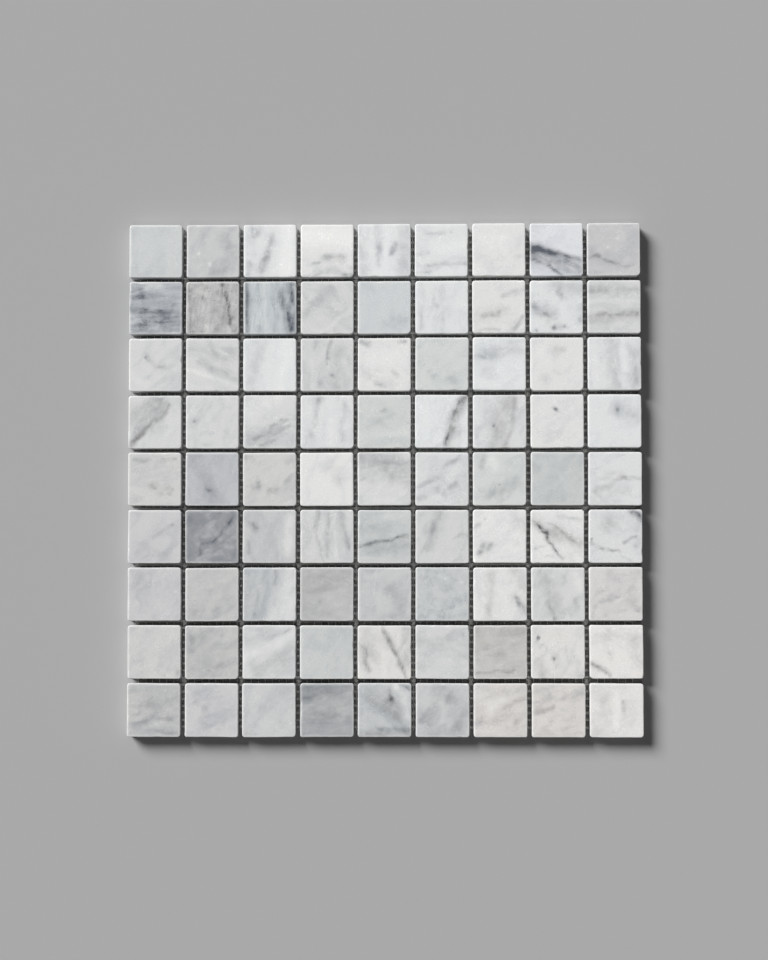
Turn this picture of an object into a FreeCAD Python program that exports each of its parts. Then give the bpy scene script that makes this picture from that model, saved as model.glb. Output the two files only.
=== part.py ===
import FreeCAD, Part
import math
import os
import random

# Mosaic tile sheet: square marble tiles held in a grid by a glass-fibre net that is glued to their backs.
# The sheet lies face up. The origin is the centre of its underside, +X runs along a row of tiles,
# +Y runs from the last row to the first, and +Z points out of the honed faces. Lengths are millimetres.

# Tiles
rows = 9
columns = 9
tile_side = 31.75
stone_thickness = 9.5
joint_width = 2.4
corner_radius = 1.5  # of each upright corner, rubbed round when the face was honed
corner_facets = 4  # flats that make up each rounded corner
arris = 0.9  # the eased edge round the top face

# How far a hand-laid tile sits off the true grid
tile_wander = 0.14
tile_twist_degrees = 0.25
laying_seed = 9

# Net
thread_pitch = 4.2
thread_width = 0.6
thread_thickness = 0.25
net_inset = 3.0  # from the outer edge of the tiles to the cut edge of the net

tile_pitch = tile_side + joint_width
sheet_width = columns * tile_pitch - joint_width
sheet_height = rows * tile_pitch - joint_width
warp_floor = 0.0
weft_floor = warp_floor + thread_thickness
tile_floor = weft_floor + thread_thickness

UP = FreeCAD.Vector(0, 0, 1)


def tile_outline():
    """The square that a tile covers, with each corner rounded by a few flats."""
    centre = tile_side / 2 - corner_radius
    points = []
    for quarter, (side_x, side_y) in enumerate(((1, 1), (-1, 1), (-1, -1), (1, -1))):
        for flat in range(corner_facets + 1):
            angle = math.pi / 2 * (quarter + flat / corner_facets)
            x = side_x * centre + corner_radius * math.cos(angle)
            y = side_y * centre + corner_radius * math.sin(angle)
            points.append(FreeCAD.Vector(x, y, 0))
    return Part.makePolygon(points + points[:1])


def tile():
    """One tile about its own centre, with its back at height 0."""
    block = Part.Face(tile_outline()).extrude(UP * stone_thickness)
    top_rim = [edge for edge in block.Edges if edge.BoundBox.ZMin > stone_thickness / 2]
    return block.makeChamfer(arris, top_rim)


def laid_tiles():
    """Every tile at its place, as a list of rows, centred as one sheet over the origin."""
    hand = random.Random(laying_seed)
    one_tile = tile()
    sheet = []
    for row in range(rows):
        laid_row = []
        for column in range(columns):
            x = (column - (columns - 1) / 2) * tile_pitch + hand.uniform(-tile_wander, tile_wander)
            y = ((rows - 1) / 2 - row) * tile_pitch + hand.uniform(-tile_wander, tile_wander)
            twist = hand.uniform(-tile_twist_degrees, tile_twist_degrees)
            laid = one_tile.copy()
            laid.Placement = FreeCAD.Placement(FreeCAD.Vector(x, y, tile_floor), FreeCAD.Rotation(UP, twist))
            laid_row.append(laid)
        sheet.append(laid_row)
    box = Part.Compound([laid for laid_row in sheet for laid in laid_row]).BoundBox
    for laid_row in sheet:
        for laid in laid_row:
            laid.translate(FreeCAD.Vector(-box.Center.x, -box.Center.y, 0))
    return sheet


def thread_places(span):
    """Centre lines of parallel threads over a net of this span, with one thread on the middle."""
    each_side = math.floor((span - thread_width) / 2 / thread_pitch)
    return [number * thread_pitch for number in range(-each_side, each_side + 1)]


def net_warp_threads():
    """The lower layer of threads, which run along Y."""
    net_width = sheet_width - 2 * net_inset
    net_height = sheet_height - 2 * net_inset
    corner_y = -net_height / 2
    threads = [
        Part.makeBox(
            thread_width,
            net_height,
            thread_thickness,
            FreeCAD.Vector(x - thread_width / 2, corner_y, warp_floor),
        )
        for x in thread_places(net_width)
    ]
    return Part.Compound(threads)


def net_weft_threads():
    """The upper layer of threads, which run along X, between the warp and the backs of the tiles."""
    net_width = sheet_width - 2 * net_inset
    net_height = sheet_height - 2 * net_inset
    corner_x = -net_width / 2
    threads = [
        Part.makeBox(
            net_width,
            thread_width,
            thread_thickness,
            FreeCAD.Vector(corner_x, y - thread_width / 2, weft_floor),
        )
        for y in thread_places(net_height)
    ]
    return Part.Compound(threads)


os.makedirs("parts", exist_ok=True)
for number, laid_row in enumerate(laid_tiles(), start=1):
    Part.Compound(laid_row).exportStep(f"parts/tile_row_{number}.step")
net_warp_threads().exportStep("parts/net_warp_threads.step")
net_weft_threads().exportStep("parts/net_weft_threads.step")
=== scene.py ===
import math
from collections import namedtuple
from functools import partial

import bpy
import numpy as np
from bpy.props import FloatProperty, FloatVectorProperty, IntProperty, PointerProperty
from mathutils import Euler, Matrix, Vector, noise


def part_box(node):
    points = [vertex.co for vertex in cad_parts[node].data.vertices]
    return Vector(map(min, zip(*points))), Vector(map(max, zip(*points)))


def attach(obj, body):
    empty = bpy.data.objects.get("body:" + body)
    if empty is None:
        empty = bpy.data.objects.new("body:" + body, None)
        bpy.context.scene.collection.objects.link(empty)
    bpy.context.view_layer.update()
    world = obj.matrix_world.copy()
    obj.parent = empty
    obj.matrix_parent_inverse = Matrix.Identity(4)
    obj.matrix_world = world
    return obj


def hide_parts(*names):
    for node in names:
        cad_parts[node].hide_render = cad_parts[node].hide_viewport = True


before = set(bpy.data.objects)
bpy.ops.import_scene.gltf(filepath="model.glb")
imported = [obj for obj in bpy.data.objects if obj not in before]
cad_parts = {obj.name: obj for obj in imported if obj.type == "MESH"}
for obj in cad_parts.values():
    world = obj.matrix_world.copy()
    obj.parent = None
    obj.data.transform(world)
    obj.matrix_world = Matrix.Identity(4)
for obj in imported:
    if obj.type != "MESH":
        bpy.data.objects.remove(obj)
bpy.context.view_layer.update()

# Dresses the mosaic tile sheet: 81 honed marble tiles, the glass-fibre net that holds them one joint
# apart, the glue between the two, and a plain studio round them.
# The sheet lies face up, with row 1 furthest along +Y and column 1 furthest along -X. Blender's unit
# is the metre, and every size below is written in millimetres.

bl_info = {
    "name": "Mosaic tile sheet",
    "version": (1, 0, 0),
    "blender": (4, 5, 0),
    "location": "3D View > Sidebar > Mosaic",
    "description": "Marble tiles, net, glue and studio for a net-backed mosaic sheet",
    "category": "Object",
}

MM = 0.001
ROWS = 9
COLUMNS = 9
TILE_SIDE = 31.75
HALF_SIDE = TILE_SIDE / 2
TILE_PITCH = 34.15
TILE_BACK = 0.5  # height of the tile backs, which is also the thickness of the net
SHEET_TOP = 10.0
STONE_DEPTH = SHEET_TOP - TILE_BACK

# The sockets of a Mix node that mixes colours: how much of the second there is, the first and the second
SHARE, FIRST, SECOND = 0, 6, 7


def linear(code):
    """The linear colour of an sRGB hex code such as #C8C8C8."""
    channels = (int(code[place : place + 2], 16) / 255 for place in (1, 3, 5))
    return [c / 12.92 if c <= 0.04045 else ((c + 0.055) / 1.055) ** 2.4 for c in channels]


def add_node(tree, kind, sockets=None, **settings):
    """Adds a shader node with its settings.

    A socket, by name or number, gets a plain value or a link. The link comes from another node's socket,
    or from the first output in use of the node that is given."""
    node = tree.nodes.new("ShaderNode" + kind)
    for name, value in settings.items():
        setattr(node, name, value)
    for socket, value in (sockets or {}).items():
        if isinstance(value, bpy.types.Node):
            value = next(output for output in value.outputs if output.enabled)
        if isinstance(value, bpy.types.NodeSocket):
            tree.links.new(value, node.inputs[socket])
        else:
            node.inputs[socket].default_value = value
    return node


def new_material(name):
    """An empty node material, and add_node for its own tree."""
    material = bpy.data.materials.new(name)
    material.use_nodes = True
    material.node_tree.nodes.clear()
    return material, partial(add_node, material.node_tree)


def new_piece(name, places, faces, materials):
    """A mesh piece from places in millimetres. It rides on the sheet's one body."""
    mesh = bpy.data.meshes.new(name)
    mesh.from_pydata((np.asarray(places) * MM).tolist(), [], faces)
    mesh.update()
    for material in materials:
        mesh.materials.append(material)
    piece = bpy.data.objects.new(name, mesh)
    bpy.context.scene.collection.objects.link(piece)
    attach(piece, "root")
    return piece


def turned(flat, angle):
    """Flat places turned anticlockwise about the middle."""
    return flat @ np.array(((np.cos(angle), np.sin(angle)), (-np.sin(angle), np.cos(angle))))


def band(inner, outer):
    """The faces between two closed loops of place numbers."""
    return np.column_stack((inner, outer, np.roll(outer, -1), np.roll(inner, -1))).tolist()


def joined(parts):
    """Parts that are places and faces each, as one set of places and one of faces."""
    places, faces, start = [], [], 0
    for some_places, some_faces in parts:
        places.append(some_places)
        faces += [[start + number for number in face] for face in some_faces]
        start += len(some_places)
    return np.vstack(places), faces


# The kinds of stone on the sheet. All are cut from one bed of white and grey marble, and differ in how
# much grey silt was folded into it. draw is how far the bed was drawn out into streaks, 1 for not at all,
# and the rest say how strongly each pattern of the stone shows.
Stone = namedtuple("Stone", "colour draw patches streaks mottle wisps")
STONES = {
    "snow": Stone("#E2E4E5", 0.60, 0.10, 0.20, 0.18, 0.06),
    "sky": Stone("#E1E3E7", 0.60, 0.10, 0.20, 0.18, 0.06),
    "white": Stone("#E4E4E3", 0.60, 0.10, 0.20, 0.18, 0.06),
    "pale": Stone("#DCDDDE", 0.60, 0.14, 0.24, 0.20, 0.08),
    "soft": Stone("#D4D5D5", 0.55, 0.15, 0.26, 0.22, 0.10),
    "ice": Stone("#D0D4D6", 0.60, 0.10, 0.16, 0.18, 0.05),
    "mist": Stone("#CDD0D1", 0.60, 0.10, 0.16, 0.18, 0.05),
    "cool": Stone("#C8CBCB", 0.60, 0.12, 0.20, 0.22, 0.08),
    "green": Stone("#D0D3D2", 0.60, 0.12, 0.20, 0.22, 0.10),
    "grey": Stone("#C7C8C9", 0.55, 0.16, 0.24, 0.28, 0.12),
    "lilac": Stone("#C9C9CB", 0.55, 0.15, 0.20, 0.24, 0.08),
    "frost": Stone("#C7CACB", 0.70, 0.12, 0.30, 0.72, 0.10),
    "steel": Stone("#B8BABE", 0.60, 0.16, 0.18, 0.22, 0.06),
    "blue": Stone("#C3C9CC", 0.25, 0.24, 0.85, 0.42, 0.26),
    "ivory": Stone("#E3E1DF", 0.50, 0.12, 0.22, 0.20, 0.10),
    "cream": Stone("#DCDBD9", 0.50, 0.14, 0.24, 0.22, 0.12),
    "blush": Stone("#D3D1D0", 0.50, 0.16, 0.32, 0.34, 0.14),
    "sand": Stone("#CCCCCB", 0.50, 0.14, 0.26, 0.26, 0.12),
    "rose": Stone("#D4D1CE", 0.50, 0.16, 0.32, 0.34, 0.16),
    "taupe": Stone("#C2C0BE", 0.45, 0.14, 0.32, 0.30, 0.12),
    "dove": Stone("#BFBFBF", 0.50, 0.16, 0.28, 0.30, 0.12),
    "ash": Stone("#BEC1C3", 0.50, 0.14, 0.28, 0.30, 0.12),
    "silt": Stone("#B8B7B7", 0.26, 0.20, 1.00, 0.95, 0.20),
    "storm": Stone("#B1B5BA", 0.22, 0.36, 1.00, 0.85, 0.30),
    "dusk": Stone("#A9ABAD", 0.40, 0.20, 0.45, 0.40, 0.14),
    "slate": Stone("#94969B", 0.80, 0.26, 0.30, 0.42, 0.14),
}

Mark = namedtuple("Mark", "layer points half_widths strengths warmth")


def kind_of_mark(layer, half_width, strength):
    """A way to draw marks that are so wide, in mm, and so strong where nothing else is said.

    Points are percent of the tile's side, across from its left and down from its top. wide and strong
    are how many times the usual a mark is, as one number or as one for its first point and one for its
    last. warm is 0 for slate grey and 1 for brown."""

    def draw(*points, wide=1.0, strong=1.0, warm=0.0):
        half_widths = np.broadcast_to(half_width * np.array(wide), 2)
        strengths = np.broadcast_to(strength * np.array(strong), 2)
        return Mark(layer, points, half_widths, strengths, warm)

    return draw


vein = kind_of_mark("vein", 0.5, 0.36)
streak = kind_of_mark("grey", 1.0, 0.24)
smudge = kind_of_mark("grey", 1.9, 0.16)
cloud = kind_of_mark("cloud", 4.4, 0.10)
spot = kind_of_mark("spot", 1.3, 0.6)
glow = kind_of_mark("white", 1.7, 0.5)


def tile(stone, lean, *marks):
    """One tile: its kind of stone, the way its grain leans in degrees from +X, and its marks."""
    return stone, lean, marks


SHEET = (
    # Row 1
    tile("mist", 80, cloud((10, 95), (90, 95), strong=0.4), cloud((4, 10), (5, 80), strong=0.3)),
    tile(
        "grey", 60, cloud((70, 20), (84, 50), strong=1.4), cloud((60, 86), (85, 80), strong=1.6),
        smudge((80, 35), (76, 50), strong=0.5), glow((22, 54), wide=0.8, strong=1.3),
        glow((43, 75), wide=0.9, strong=1.3), cloud((30, 20), (35, 40), strong=0.6),
    ),
    tile(
        "snow", 105, smudge((57, 16), (50, 40), (42, 60), (35, 84), wide=(0.9, 1.4), strong=(1.4, 2)),
        smudge((46, 50), (41, 64), strong=1.1), smudge((15, 0), (20, 20), strong=1.5),
        smudge((31, 0), (27, 16)), cloud((24, 25), (10, 98), strong=0.5),
        smudge((12, 70), (6, 95), wide=0.8, strong=1.2), glow((82, 10), (78, 90), wide=3.6, strong=1.4),
    ),
    tile(
        "white", 4, smudge((47, 63), (80, 63), wide=1.1, strong=1.9), streak((18, 73), (36, 73), strong=1.2),
        cloud((20, 92), (105, 86), wide=0.6, strong=1.3), streak((5, 96), (50, 93), strong=0.8),
        streak((84, 97), (100, 98), wide=1.3, strong=2.2), glow((10, 20), (90, 25), wide=5, strong=1.6),
    ),
    tile(
        "snow", 88, cloud((6, 20), (8, 95), strong=1.6), cloud((38, 6), (40, 45), wide=0.6, strong=2),
        smudge((40, 42), (38, 78), wide=0.9, strong=1.2), smudge((69, 40), (66, 56), wide=0.9, strong=2.3),
        glow((56, 10), (53, 95), strong=0.7), cloud((88, 5), (86, 95), strong=2),
    ),
    tile(
        "snow", 4, cloud((10, 42), (40, 32), strong=0.6), streak((20, 20), (70, 15), wide=1.4, strong=0.7),
        streak((20, 80), (60, 75), (100, 77), wide=1.3, strong=0.9), cloud((20, 72), (95, 68), strong=0.5),
        streak((-2, 94), (30, 92), strong=0.8), streak((2, 56), (25, 54), strong=0.6),
        glow((40, 45), (95, 40), wide=3.2, strong=0.9), glow((50, 92), (90, 90), wide=2, strong=0.7),
    ),
    tile("white", 20, cloud((50, 70), (90, 50), strong=0.6), glow((20, 30), (60, 35), wide=4, strong=0.8)),
    tile(
        "sky", 165, cloud((-10, 44), (15, 49), (50, 57), (110, 74), wide=(0.64, 0.2), strong=(14.5, 2.2)),
        cloud((-5, 62), (35, 70), (95, 86), wide=(1.15, 1.2), strong=(5.4, 2.6)),
        streak((0, 67), (30, 80), (62, 98), wide=0.8, strong=(1.1, 2.2)),
        cloud((45, 74), (95, 90), wide=1.3, strong=1.2), cloud((0, 15), (30, 10), strong=0.9),
        streak((50, 66), (90, 82), strong=0.8), spot((78, 30), wide=0.5),
        spot((84, 33), wide=0.5, strong=0.8), spot((42, 12), strong=0.4, warm=0.9),
    ),
    tile(
        "lilac", 20,
        vein(
            (2, 69), (10, 66), (20, 61), (34, 69), (54, 78), (77, 80), (97, 72),
            wide=1.5, strong=0.45, warm=0.4,
        ),
        streak((4, 64), (28, 60), strong=0.7), streak((35, 70), (62, 78), strong=0.6),
        cloud((5, 10), (5, 60), strong=0.5), glow((57, 27), wide=0.7, strong=1.1), glow((40, 44), wide=0.6),
    ),
    # Row 2
    tile(
        "storm", 4, smudge((-2, 20), (20, 20), wide=1.7, strong=2.2), smudge((20, 26), (36, 34), strong=1.6),
        streak((-2, 50), (30, 55), (75, 57), wide=2, strong=1.6), smudge((10, 67), (90, 65), strong=1.3),
        smudge((20, 84), (62, 82), wide=1.8, strong=2.4), smudge((60, 73), (90, 75), strong=1.3),
        streak((40, 40), (97, 43), strong=0.9), glow((55, 12), (97, 20), wide=2, strong=0.9),
        streak((45, 97), (95, 93), strong=0.8),
    ),
    tile(
        "silt", 84, vein((66, -5), (72, 30), (78, 46), (85, 70), (86, 98), wide=2, strong=(1, 0.7), warm=0.3),
        smudge((70, 24), (77, 46), strong=2.3, warm=0.3),
        smudge((6, 15), (10, 95), wide=0.9, strong=1.6, warm=0.2),
        streak((30, 2), (34, 30), strong=0.9, warm=0.3), smudge((87, 60), (86, 95), strong=1.2, warm=0.3),
        glow((22, 50), (25, 62), wide=0.8, strong=0.9), glow((45, 35), (50, 90), wide=1.1, strong=0.5),
    ),
    tile(
        "blue", 86, cloud((93, -5), (96, 105), wide=1.1, strong=2.9),
        cloud((76, 50), (86, 100), wide=0.6, strong=1.4),
        streak((68, 20), (80, 55), (93, 90), wide=1.8, strong=1.6),
        streak((92, 2), (90, 35), wide=1.3, strong=1.6), streak((5, -2), (8, 98), wide=1.5, strong=2),
        spot((83, 60), wide=0.8), glow((42, 40), (40, 95), wide=1.6, strong=0.7),
        streak((27, 0), (30, 90), wide=0.8, strong=0.5),
    ),
    tile(
        "soft", 145, cloud((2, 64), (55, 18), wide=0.7, strong=2),
        glow((36, 98), (100, 50), wide=1.3, strong=0.7), glow((20, 28), wide=1.1, strong=0.7),
        spot((25, 22), wide=0.5, strong=0.5), glow((65, 54), wide=0.6, strong=0.8),
        cloud((60, 80), (98, 40), strong=0.5),
    ),
    tile(
        "ice", 85, cloud((52, 80), (86, 72), strong=1.3), spot((77, 14), wide=0.5, strong=0.4),
        cloud((20, 10), strong=0.9), glow((30, 75), wide=3, strong=0.3),
    ),
    tile(
        "snow", 88, streak((13, 10), (13, 90), wide=1.4, strong=0.5),
        streak((50, 10), (50, 90), wide=1.4, strong=0.4), smudge((37, 33), (42, 45)),
        cloud((35, 20), (35, 70), strong=0.5),
    ),
    tile(
        "white", 35, smudge((60, 30), (95, 15), wide=0.8, strong=1.4, warm=0.4),
        smudge((20, 68), (48, 60), strong=1.5, warm=0.4), streak((76, 98), (96, 70), wide=1.2, strong=1.2),
        cloud((10, 75), (60, 55), strong=1.2, warm=0.4), cloud((75, 85), strong=1.2),
        streak((5, 95), (50, 90), strong=0.8),
    ),
    tile(
        "snow", 20, smudge((56, 22), (62, 30), wide=1.1, strong=2.3),
        smudge((8, 50), (22, 62), wide=1.1, strong=1.3), smudge((30, 64), (48, 70), strong=1.5),
        spot((45, 90), wide=1.3, strong=1.1), spot((66, 86), strong=0.9),
        smudge((42, 90), (68, 87), strong=1.2), spot((12, 96), strong=0.9),
        cloud((50, 6), (100, 14), wide=1.1, strong=2.3), cloud((10, 50), (40, 66), wide=1.2, strong=1.7),
        glow((62, 50), (68, 68), wide=1.7, strong=0.5), smudge((98, 50), (97, 75), strong=1.3),
        spot((15, 25), wide=0.6, strong=0.8),
    ),
    tile(
        "soft", 6, cloud((-5, 17), (105, 16), wide=0.6, strong=1.8, warm=0.4),
        streak((2, 22), (35, 20), strong=0.9, warm=0.3), spot((36, 21), wide=0.6, strong=0.8),
        cloud((-5, 72), (105, 64), wide=0.7, strong=2.7, warm=0.6),
        streak((20, 66), (55, 64), (95, 62), wide=0.8, strong=1.1, warm=0.5), spot((45, 67), wide=0.6),
        spot((62, 63), wide=0.5, strong=0.9), spot((78, 63), wide=0.5),
        glow((5, 41), (95, 38), wide=1.1, strong=0.6),
    ),
    # Row 3
    tile(
        "soft", 40, spot((32, 37), wide=0.8), streak((33, 38), (50, 50), (80, 58), wide=1.4, strong=0.8),
        cloud((25, 30), (60, 50), strong=0.9), glow((5, 70), (35, 90), wide=1.8, strong=0.6),
    ),
    tile(
        "soft", 155, cloud((10, 18), (90, 36), strong=2),
        glow((2, 58), (50, 74), (100, 92), wide=1.1, strong=0.9),
        cloud((25, 48), (95, 72), wide=0.6, strong=2.1), glow((62, 20), (100, 50), wide=0.8, strong=0.6),
        spot((45, 35), wide=0.6, strong=0.6), spot((76, 90), wide=0.6, strong=0.8),
        glow((10, 90), (50, 98), wide=1.6, strong=0.5),
    ),
    tile(
        "snow", 100, cloud((42, -5), (12, 105), wide=0.9, strong=1.5), cloud((10, 10), (6, 60), strong=0.4),
        glow((80, 10), (70, 95), wide=3.6, strong=0.9),
    ),
    tile(
        "soft", 86, streak((57, 2), (50, 38), wide=1.2, strong=1.3), streak((30, 2), (28, 25), strong=0.9),
        glow((22, 25), (22, 60), strong=0.6), spot((47, 48), wide=0.8, strong=1.1),
        spot((60, 72), wide=0.9, strong=1.2), smudge((56, 70), (62, 76), wide=0.8, strong=0.9),
        smudge((36, 84), wide=1.2, strong=1.5), cloud((75, 20), (70, 90), strong=1.3),
    ),
    tile(
        "white", 150, smudge((78, 4), (86, 7), wide=0.8, strong=2.3), smudge((6, 5), (20, 12), strong=1.7),
        cloud((5, 60), (60, 85), strong=0.9), streak((35, 85), (55, 93), strong=0.9),
        glow((30, 40), (80, 35), wide=3.6, strong=0.8), streak((66, 60), (76, 68), strong=0.9),
    ),
    tile(
        "green", 30, smudge((25, 66), (35, 70), strong=0.8), smudge((64, 80), (72, 83), strong=0.8),
        glow((70, 30), wide=1.6, strong=0.4), glow((10, 10), (30, 8), wide=1.6, strong=0.4),
    ),
    tile(
        "snow", 20, cloud((25, 30), (85, 18), strong=2.2), cloud((30, 65), strong=0.9),
        smudge((8, 36), (35, 40), wide=0.8, strong=1.2),
    ),
    tile(
        "white", 60, cloud((50, 30), (60, 20)), smudge((50, 22), (66, 20), strong=0.6, warm=0.5),
        cloud((25, 80), strong=0.9), glow((20, 30), (30, 50), wide=3, strong=0.7),
        streak((40, 62), (60, 70), strong=0.5, warm=0.5),
    ),
    tile(
        "pale", 88, cloud((42, 0), (48, 100), wide=0.9, strong=2),
        glow((66, 5), (68, 60), wide=1.4, strong=0.8), smudge((84, 60), (90, 95), wide=1.2, strong=0.8),
        cloud((90, 30), (92, 95), strong=1.3), glow((12, 20), (14, 90), wide=1.6, strong=0.6),
        streak((50, 62), (60, 95), strong=0.6),
    ),
    # Row 4
    tile(
        "soft", 50,
        streak((-5, 99), (20, 77), (46, 55), (76, 18), wide=(2.3, 1.7), strong=(2.5, 1.3), warm=0.5),
        cloud((5, 40), (55, 5), wide=1.5, strong=2.4, warm=0.2),
        cloud((15, 65), (65, 15), wide=0.8, strong=1.6), glow((65, 85), (95, 45), wide=2, strong=0.4),
    ),
    tile(
        "soft", 60, spot((18, 50), strong=0.8), cloud((50, 40), (90, 80), strong=0.4),
        smudge((37, 90), strong=0.7), cloud((20, 50), wide=0.6),
    ),
    tile(
        "soft", 28, streak((50, 60), (82, 46), wide=1.2, strong=1.2),
        streak((20, 82), (50, 72), wide=1.2, strong=0.9), streak((50, 78), (90, 58), strong=0.9),
        streak((30, 95), (62, 86), strong=0.8), cloud((15, 84), (85, 55), wide=1.4, strong=1.6),
        cloud((20, 98), (90, 90), strong=0.8), spot((73, 48), wide=0.9, strong=0.9),
        glow((5, 35), (60, 8), wide=4, strong=0.8),
    ),
    tile(
        "pale", 88, streak((32, 5), (28, 60), wide=1.6, strong=0.7),
        streak((80, 20), (79, 85), wide=1.6, strong=0.6), smudge((20, 74), strong=1.1),
        smudge((25, 8), (40, 10), strong=0.8), glow((55, 10), (55, 90), wide=2.6, strong=0.7),
    ),
    tile(
        "green", 8, glow((5, 78), (50, 72), (92, 74), wide=2, strong=0.7),
        glow((28, 27), wide=0.5, strong=1.2), streak((40, 33), (52, 30), strong=0.9),
        glow((85, 14), wide=0.5), cloud((30, 50), (80, 45), strong=0.5),
    ),
    tile(
        "snow", 72, cloud((100, -10), (76, 40), (60, 105), wide=0.75, strong=(4.2, 2.9), warm=0.5),
        smudge((93, 2), (84, 14), wide=1.1, strong=2), smudge((72, 30), (70, 44), wide=1.1, strong=2.2),
        smudge((60, 78), (56, 92), strong=2.2),
        vein((88, 5), (70, 38), (66, 62), (56, 98), strong=0.3, warm=0.5),
        vein((76, 28), (82, 50), (68, 72), wide=0.9, strong=0.28, warm=0.5), cloud((86, 72), strong=1.3),
        smudge((42, 98)), glow((15, 20), (20, 80), wide=2, strong=0.4),
    ),
    tile(
        "pale", 62, cloud((75, -5), (52, 50), (44, 105), wide=1.6, strong=2.6, warm=0.6),
        cloud((82, 10), (74, 50), (60, 100), wide=0.3, strong=1.8, warm=0.5),
        spot((40, 58), wide=0.8, strong=0.9), smudge((38, 54), (42, 64), wide=0.8, strong=0.8),
        glow((3, 10), (10, 50), wide=2, strong=0.7), cloud((95, 70), strong=0.6),
    ),
    tile(
        "white", 40, spot((48, 27), wide=1.1, strong=1.1), smudge((46, 25), (50, 30), wide=0.8, strong=1.2),
        cloud((40, 82), (80, 78), strong=0.6),
    ),
    tile(
        "snow", 70, spot((54, 29), wide=1.1, strong=0.8), cloud((55, 25), (85, 40), wide=1.1, strong=1.8),
        smudge((52, 25), (55, 38)),
    ),
    # Row 5
    tile(
        "sand", 12, smudge((12, 14), (36, 14), wide=0.7, strong=1.6), streak((60, 12), (90, 12)),
        smudge((44, 62), (50, 63), wide=0.9, strong=2, warm=0.9),
        smudge((76, 70), (84, 70), wide=0.9, strong=2, warm=0.8),
        smudge((66, 78), (80, 82), wide=0.8, strong=1.4, warm=0.7),
        glow((20, 50), (50, 85), wide=2.2, strong=0.1),
    ),
    tile(
        "steel", 75, cloud((20, 10), (40, 60), wide=1.7, strong=1.5),
        cloud((50, 82), (60, 100), wide=0.9, strong=1.3), spot((45, 73), wide=1.3, strong=0.45),
        smudge((42, 72), (50, 75), strong=1.1), glow((88, 5), (88, 90), wide=2.2, strong=0.35),
        glow((8, 88), wide=2.2, strong=0.3),
    ),
    tile(
        "sand", 30, smudge((3, 8), (16, 12), strong=1.6, warm=0.3),
        smudge((26, 48), (30, 62), wide=0.9, strong=1.5),
        smudge((48, 70), (60, 70), wide=0.9, strong=1.7, warm=0.3), smudge((80, 62), (90, 45), wide=0.9),
        smudge((15, 55), (20, 66), wide=0.8, strong=1.1), glow((55, 25), (60, 40), wide=1.6, strong=0.4),
        smudge((85, 18), strong=0.8),
    ),
    tile("white", 60, cloud((60, 30), (70, 50), strong=1.6)),
    tile(
        "soft", 25, cloud((10, 10), (95, 28), wide=1.6, strong=3), smudge((52, 20), (62, 46), strong=0.6),
        smudge((12, 48), (26, 54), strong=1.3), cloud((65, 48), (95, 60), strong=1.6),
        glow((15, 88), (75, 92), wide=1.8, strong=0.5), spot((47, 42), wide=0.6, strong=0.7),
    ),
    tile(
        "pale", 28, streak((56, 28), (82, 8), wide=1.4, strong=0.9),
        streak((5, 66), (22, 56), (40, 50), wide=1.4, strong=0.9), spot((42, 33), wide=0.8, strong=0.6),
        smudge((46, 66), (54, 76), strong=1.3), smudge((66, 66), (76, 58)),
        smudge((8, 86), (20, 86), strong=1.1), cloud((30, 60), (70, 60), strong=0.6),
        cloud((90, 50), (85, 90), strong=0.8),
    ),
    tile(
        "green", 40, glow((35, 15), (42, 30), wide=2.4, strong=0.9), spot((49, 62), wide=0.6, strong=0.9),
        smudge((20, 12), (16, 26), strong=1.3), cloud((30, 80), (80, 60), strong=2.2),
    ),
    tile(
        "cool", 50, cloud((8, 30), strong=1.3), cloud((35, 85), (70, 90), strong=0.9),
        glow((50, 35), (62, 55), strong=0.5), cloud((85, 30), (90, 60), strong=0.8),
    ),
    tile(
        "pale", 15, cloud((15, 72), (45, 60), (65, 48), (105, 47), wide=0.4, strong=1.8, warm=0.7),
        streak((62, 49), (98, 47), strong=0.7, warm=0.5), cloud((25, 50), (60, 40), strong=1.1, warm=0.7),
        cloud((15, 85), (80, 75), strong=0.9, warm=0.7),
    ),
    # Row 6
    tile(
        "lilac", 35, streak((48, 52), (80, 28), strong=0.5), spot((80, 28), wide=0.6, strong=0.8),
        spot((50, 70), wide=0.5, strong=0.7), cloud((30, 75), (70, 85), strong=1.9),
    ),
    tile(
        "slate", 40,
        vein((20, 94), (32, 67), (45, 62), (53, 60), (65, 46), (80, 30), (92, 10), wide=1.1, strong=0.9),
        smudge((44, 60), (54, 60), strong=1.2), smudge((90, 2), (84, 30), strong=1.6),
        cloud((4, 5), (8, 80), strong=1.8), glow((40, 6), (46, 34), wide=1.4, strong=0.5),
        cloud((65, 10), (60, 35), strong=0.9), glow((30, 80), (25, 95), wide=1.2, strong=0.4),
        cloud((85, 80), strong=0.6),
    ),
    tile(
        "grey", 80, smudge((14, 27), (26, 33), strong=1.5), spot((20, 28), strong=0.6),
        smudge((22, 40), strong=0.8), glow((86, 15), (84, 80), wide=2.4, strong=0.9),
        streak((10, 60), (12, 80), strong=0.8), smudge((20, 95), strong=0.8),
    ),
    tile(
        "soft", 84, streak((32, 0), (28, 30), (42, 95), wide=1.2, strong=(1.5, 0.8)),
        streak((52, 5), (50, 90), wide=1.2, strong=0.9),
        streak((78, 2), (82, 40), (90, 70), wide=1.6, strong=(0.9, 1.1)), cloud((6, 30), (8, 90), strong=1.2),
        glow((64, 10), (66, 90), wide=0.9, strong=0.7), glow((42, 10), (40, 50), wide=0.7, strong=0.6),
    ),
    tile(
        "cool", 10, streak((2, 66), (30, 60), (50, 56), (72, 52), (95, 48), wide=0.8, strong=2.1, warm=0.3),
        cloud((10, 35), (50, 36), strong=1.2), cloud((30, 76), (90, 66), strong=1.8),
        smudge((5, 66), (65, 54), wide=0.8, strong=1.1), glow((50, 12), (95, 10), wide=1.8, strong=0.6),
        glow((10, 88), (50, 90), strong=0.5),
    ),
    tile(
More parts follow.
